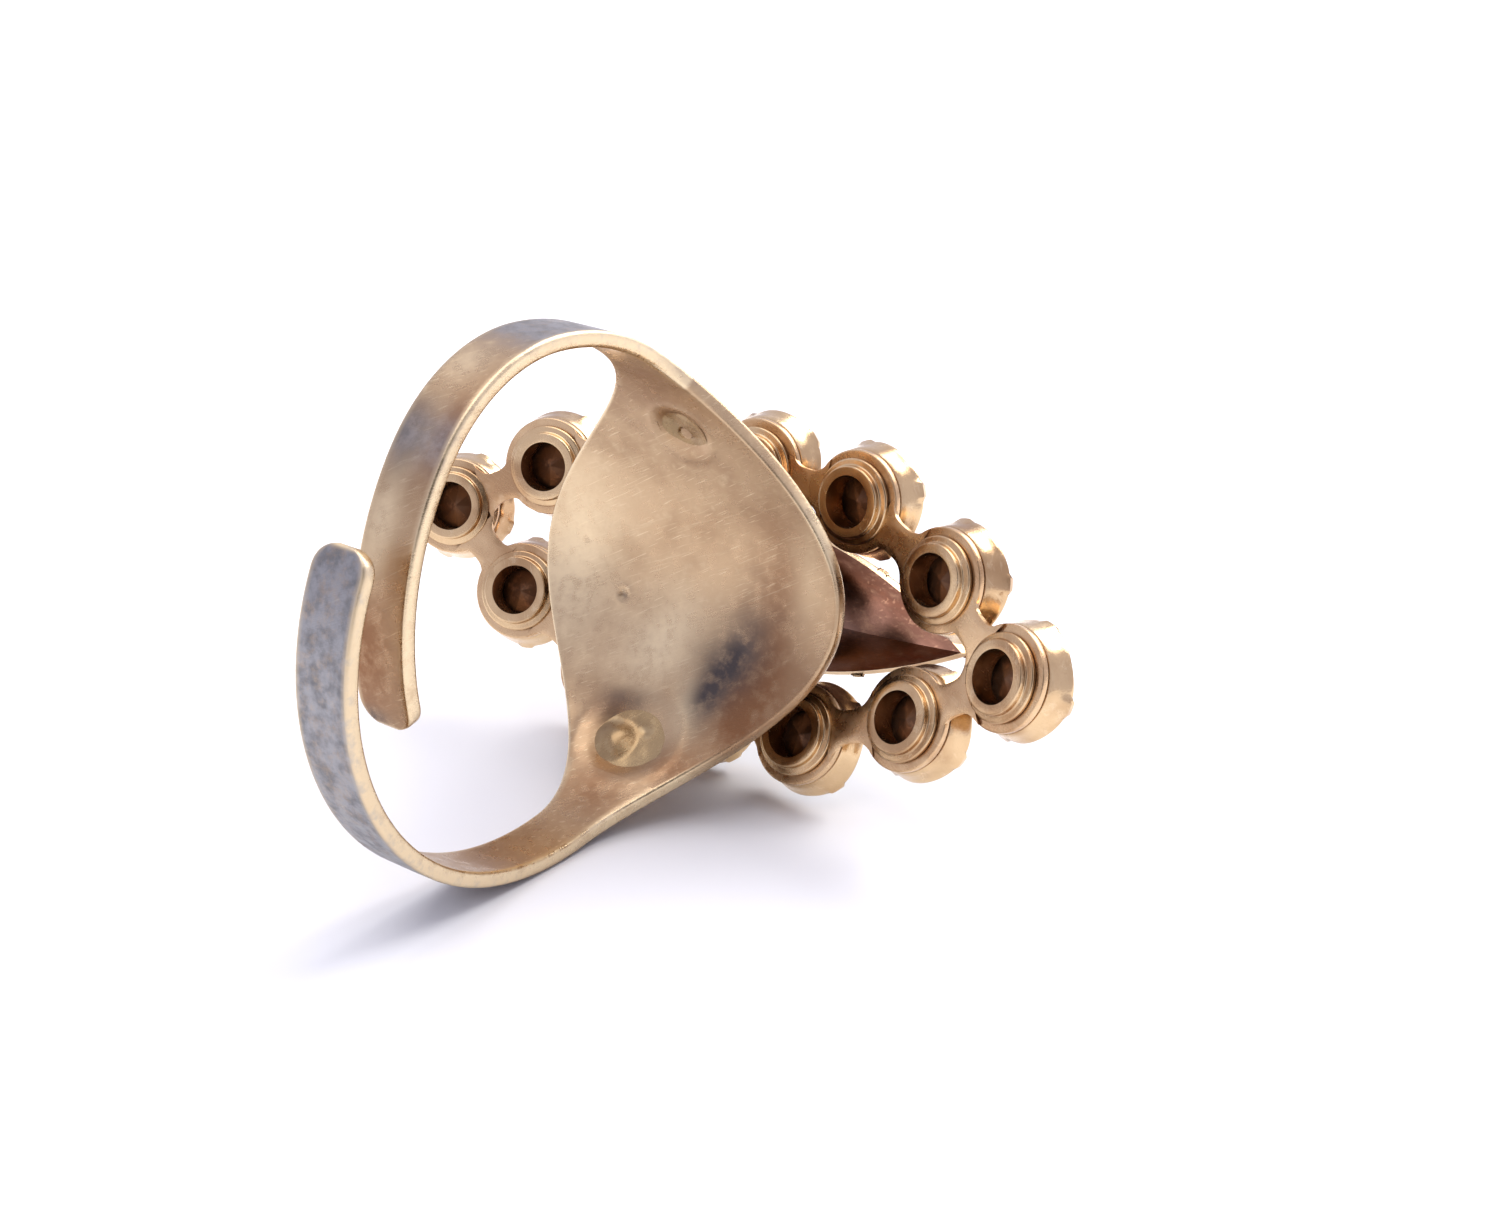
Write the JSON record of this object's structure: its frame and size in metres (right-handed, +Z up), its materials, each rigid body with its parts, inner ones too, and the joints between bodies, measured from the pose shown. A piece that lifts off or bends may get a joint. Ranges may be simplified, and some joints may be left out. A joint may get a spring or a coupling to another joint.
{
  "type": "cocktail ring",
  "caption": "Adjustable cocktail ring with a split shank, a domed frame of round stone cups and a long pointed centre stone in a closed-back setting, lying on its side.",
  "frame": {"origin": "centre of the footprint, on the table that the ring lies on", "axes": "+X along the finger, -Y the way the stones face, +Z up from the table"},
  "size_m": [0.031, 0.0248, 0.0195],
  "materials": {
    "shank_gilt": "satin gilt, worn",
    "cup_gilt": "bright gilt",
    "solder": "dull solder under gilt",
    "clear_glass": "faceted, foiled at the back"
  },
  "bodies": {
    "setting": {"shank_pad": "shank_gilt", "mounting_post_upper": "cup_gilt", "mounting_post_lower": "cup_gilt", "solder_upper": "solder", "solder_lower": "solder", "cluster_frame": "cup_gilt", "stone_cup_01": "cup_gilt", "stone_cup_02": "cup_gilt", "stone_cup_03": "cup_gilt", "stone_cup_04": "cup_gilt", "stone_cup_05": "cup_gilt", "stone_cup_06": "cup_gilt", "stone_cup_07": "cup_gilt", "stone_cup_08": "cup_gilt", "stone_cup_09": "cup_gilt", "stone_cup_10": "cup_gilt", "stone_cup_11": "cup_gilt", "stone_cup_12": "cup_gilt", "chaton_01": "clear_glass", "chaton_02": "clear_glass", "chaton_03": "clear_glass", "chaton_04": "clear_glass", "chaton_05": "clear_glass", "chaton_06": "clear_glass", "chaton_07": "clear_glass", "chaton_08": "clear_glass", "chaton_09": "clear_glass", "chaton_10": "clear_glass", "chaton_11": "clear_glass", "chaton_12": "clear_glass", "centre_setting": "cup_gilt", "centre_stone": "clear_glass"},
    "inner_arm": {"arm_inner": "shank_gilt"},
    "outer_arm": {"arm_outer": "shank_gilt"}
  },
  "joints": [
    {"name": "outer_arm_bend", "type": "hinge", "parent": "setting", "child": "outer_arm", "pos_m": [0, 0.00034, 0.00051], "axis": [-1, 0, 0], "range_deg": [-6, 8]},
    {"name": "inner_arm_bend", "type": "hinge", "parent": "setting", "child": "inner_arm", "pos_m": [0, -0.00269, 0.01758], "axis": [1, 0, 0], "range_deg": [-6, 8]}
  ],
  "couplings": [
    {"joint": "inner_arm_bend", "follows": "outer_arm_bend", "ratio": 1}
  ]
}
